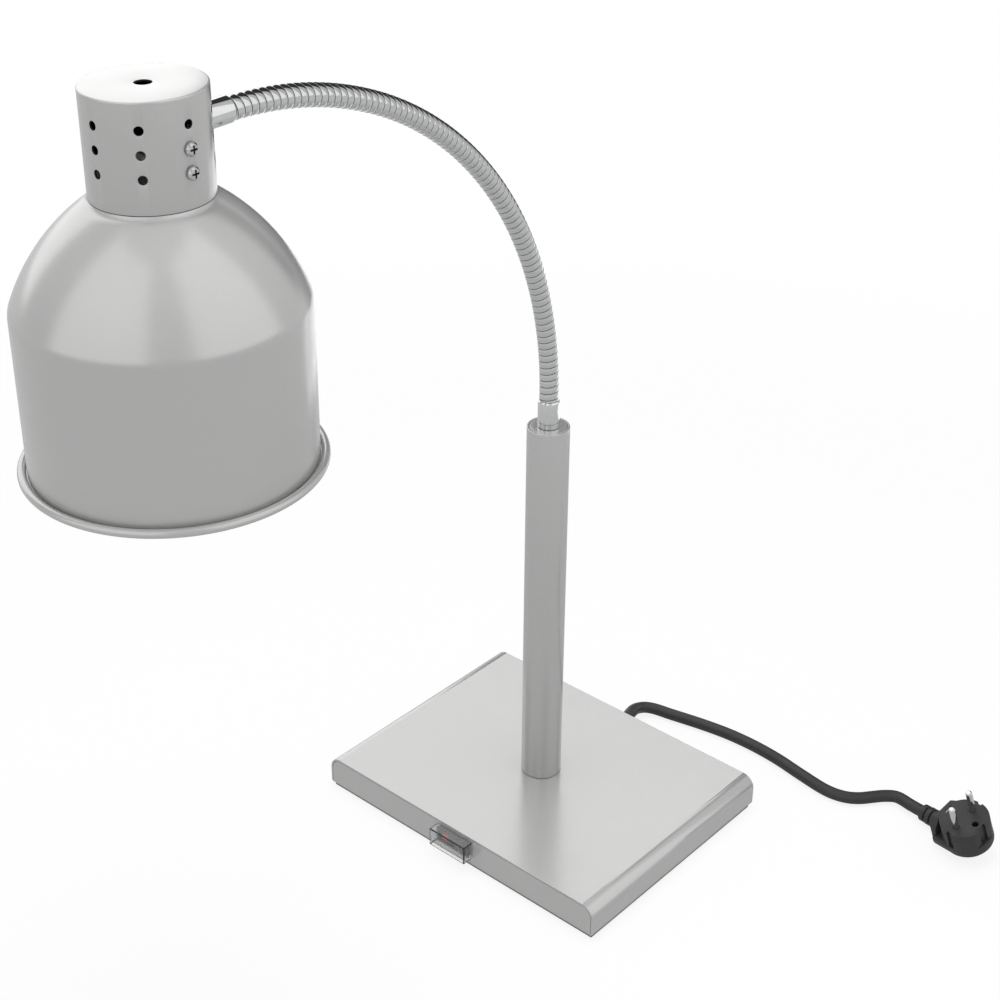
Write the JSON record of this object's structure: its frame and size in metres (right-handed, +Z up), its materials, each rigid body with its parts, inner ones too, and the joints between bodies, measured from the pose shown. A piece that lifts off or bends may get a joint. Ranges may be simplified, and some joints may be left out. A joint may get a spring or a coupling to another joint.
{
  "type": "food warming lamp",
  "caption": "Countertop food warming lamp: reflector bulb in a bell shade, held over the food by a flexible gooseneck on a pole that rises from a heavy flat base with a rocker switch and cord.",
  "frame": {"origin": "on the pole's axis, on the flat underside of the base, so z is 0 at the table", "axes": "+Z up along the pole; +X along the switch side of the base, to the right as seen from the front; -Y towards the switch and the lamp head, +Y towards the cord outlet"},
  "size_m": [0.4232, 0.5893, 0.6377],
  "materials": {
    "painted_steel": "satin",
    "painted_aluminium": "satin",
    "plain_steel": "satin",
    "ballast_iron": "matte",
    "bright_chrome": "polished",
    "porcelain": "satin",
    "holder_brass": "satin",
    "bulb_metal": "satin",
    "bulb_glass": "gloss",
    "black_plastic": "satin",
    "red_lens": "gloss",
    "clear_plastic": "gloss",
    "black_rubber": "matte",
    "grey_plastic": "matte",
    "brown_insulation": "matte",
    "blue_insulation": "matte",
    "earth_insulation": "matte",
    "glass_fibre_sleeve": "matte"
  },
  "bodies": {
    "base": {"base_cover": "painted_steel", "front_plate": "painted_steel", "rear_plate": "painted_steel", "bottom_plate": "painted_steel", "bottom_screw_1": "plain_steel", "bottom_screw_2": "plain_steel", "bottom_screw_3": "plain_steel", "bottom_screw_4": "plain_steel", "ballast_plate": "ballast_iron", "pole_tube": "painted_steel", "pole_top_plug": "painted_steel", "pole_foot_plug": "plain_steel", "pole_washer": "plain_steel", "pole_nut": "plain_steel", "ferrule_lower": "bright_chrome", "ferrule_lower_nut": "plain_steel", "neck_1": "bright_chrome", "switch_housing": "black_plastic", "splash_cover": "clear_plastic", "cord_gland": "black_plastic", "gland_nut": "black_plastic", "cord_inner_end": "black_rubber", "terminal_block": "grey_plastic", "wire_live": "brown_insulation", "wire_neutral": "blue_insulation", "wire_earth": "earth_insulation", "wire_switched": "brown_insulation", "lamp_lead": "glass_fibre_sleeve", "power_cord": "black_rubber", "plug_relief": "black_rubber", "plug_body": "black_rubber", "plug_earth_clip": "bright_chrome", "plug_pin_1": "bright_chrome", "plug_pin_2": "bright_chrome"},
    "neck_link_2": {"neck_2": "bright_chrome"},
    "neck_link_3": {"neck_3": "bright_chrome"},
    "neck_link_4": {"neck_4": "bright_chrome"},
    "neck_link_5": {"neck_5": "bright_chrome"},
    "neck_link_6": {"neck_6": "bright_chrome"},
    "neck_link_7": {"neck_7": "bright_chrome"},
    "neck_link_8": {"neck_8": "bright_chrome"},
    "neck_link_9": {"neck_9": "bright_chrome"},
    "neck_link_10": {"neck_10": "bright_chrome"},
    "head": {"neck_11": "bright_chrome", "ferrule_upper": "bright_chrome", "ferrule_upper_nut": "plain_steel", "lamp_cap": "painted_aluminium", "shade": "painted_aluminium", "cap_screw_1": "bright_chrome", "cap_screw_2": "bright_chrome", "cap_screw_3": "bright_chrome", "cap_screw_4": "bright_chrome", "holder_bracket": "plain_steel", "lampholder": "porcelain", "holder_shell": "holder_brass", "holder_nipple": "plain_steel", "bulb_base": "bulb_metal", "bulb_glass": "bulb_glass"},
    "switch_rocker": {"rocker": "black_plastic", "rocker_lens": "red_lens"}
  },
  "joints": [
    {"name": "neck_bend_1", "type": "hinge", "parent": "base", "child": "neck_link_2", "pos_m": [0, -0.00249, 0.37982], "axis": [1, 0, 0], "range_deg": [-10, 10]},
    {"name": "neck_sway_1", "type": "hinge", "parent": "neck_link_2", "child": "neck_link_3", "pos_m": [0, -0.01043, 0.41739], "axis": [0, 0.961, 0.2765], "range_deg": [-10, 10]},
    {"name": "neck_bend_2", "type": "hinge", "parent": "neck_link_3", "child": "neck_link_4", "pos_m": [0, -0.02367, 0.45343], "axis": [1, 0, 0], "range_deg": [-10, 10]},
    {"name": "neck_sway_2", "type": "hinge", "parent": "neck_link_4", "child": "neck_link_5", "pos_m": [0, -0.04193, 0.48721], "axis": [0, 0.8433, 0.5374], "range_deg": [-10, 10]},
    {"name": "neck_bend_3", "type": "hinge", "parent": "neck_link_5", "child": "neck_link_6", "pos_m": [0, -0.06483, 0.51803], "axis": [1, 0, 0], "range_deg": [-10, 10]},
    {"name": "neck_sway_3", "type": "hinge", "parent": "neck_link_6", "child": "neck_link_7", "pos_m": [0, -0.09191, 0.54525], "axis": [0, 0.6565, 0.7543], "range_deg": [-10, 10]},
    {"name": "neck_bend_4", "type": "hinge", "parent": "neck_link_7", "child": "neck_link_8", "pos_m": [0, -0.12261, 0.56832], "axis": [1, 0, 0], "range_deg": [-10, 10]},
    {"name": "neck_sway_4", "type": "hinge", "parent": "neck_link_8", "child": "neck_link_9", "pos_m": [0, -0.15629, 0.58675], "axis": [0, 0.4159, 0.9094], "range_deg": [-10, 10]},
    {"name": "neck_bend_5", "type": "hinge", "parent": "neck_link_9", "child": "neck_link_10", "pos_m": [0, -0.19227, 0.60018], "axis": [1, 0, 0], "range_deg": [-10, 10]},
    {"name": "neck_sway_5", "type": "hinge", "parent": "neck_link_10", "child": "head", "pos_m": [0, -0.2298, 0.60832], "axis": [0, 0.1413, 0.99], "range_deg": [-10, 10]},
    {"name": "rocker_tilt", "type": "hinge", "parent": "base", "child": "switch_rocker", "pos_m": [0, -0.0974, 0.0165], "axis": [0, 0, 1], "range_deg": [0, 18]}
  ]
}
